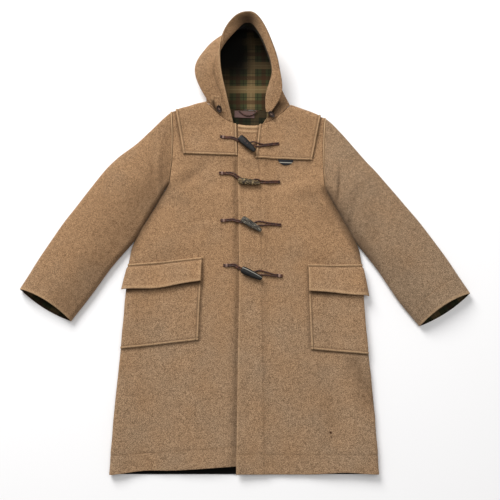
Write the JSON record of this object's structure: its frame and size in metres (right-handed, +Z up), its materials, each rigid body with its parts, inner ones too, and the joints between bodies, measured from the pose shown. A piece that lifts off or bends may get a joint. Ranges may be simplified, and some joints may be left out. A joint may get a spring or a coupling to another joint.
{
  "type": "duffle coat",
  "caption": "Hooded duffle coat of thick wool laid flat on its back, fastened with horn toggles, with patch pockets, flaps and yokes.",
  "frame": {"origin": "a point on the back panel's flat underside, on the coat's middle line below the chest", "axes": "+X towards the wearer's left, +Y from hem to hood, +Z up from the surface the coat lies on"},
  "size_m": [1.2716, 1.3284, 0.1002],
  "materials": {
    "wool": "thick camel wool with a soft nap, checked on its inner face",
    "leather": "dark oxblood round thong",
    "horn": "polished grey-black horn",
    "label": "black woven tape",
    "tape": "pale woven tape"
  },
  "bodies": {
    "root": {"right_front": "wool", "left_front": "wool", "back_panel": "wool", "yoke_right": "wool", "yoke_left": "wool", "yoke_back": "wool", "pocket_right": "wool", "pocket_left": "wool", "flap_right": "wool", "flap_left": "wool", "sleeve_right_top": "wool", "sleeve_right_under": "wool", "sleeve_left_top": "wool", "sleeve_left_under": "wool", "hood_right": "wool", "hood_left": "wool", "hood_facing_right": "wool", "hood_facing_left": "wool", "hood_tab_right": "wool", "hood_tab_left": "wool", "hood_button_right": "horn", "hood_button_left": "horn", "toggle_1": "horn", "toggle_2": "horn", "toggle_3": "horn", "toggle_4": "horn", "toggle_thong_1": "leather", "toggle_thong_2": "leather", "toggle_thong_3": "leather", "toggle_thong_4": "leather", "loop_thong_1": "leather", "loop_thong_2": "leather", "loop_thong_3": "leather", "loop_thong_4": "leather", "label_tab": "label", "neck_label": "tape", "hanger_loop": "leather"}
  },
  "joints": []
}
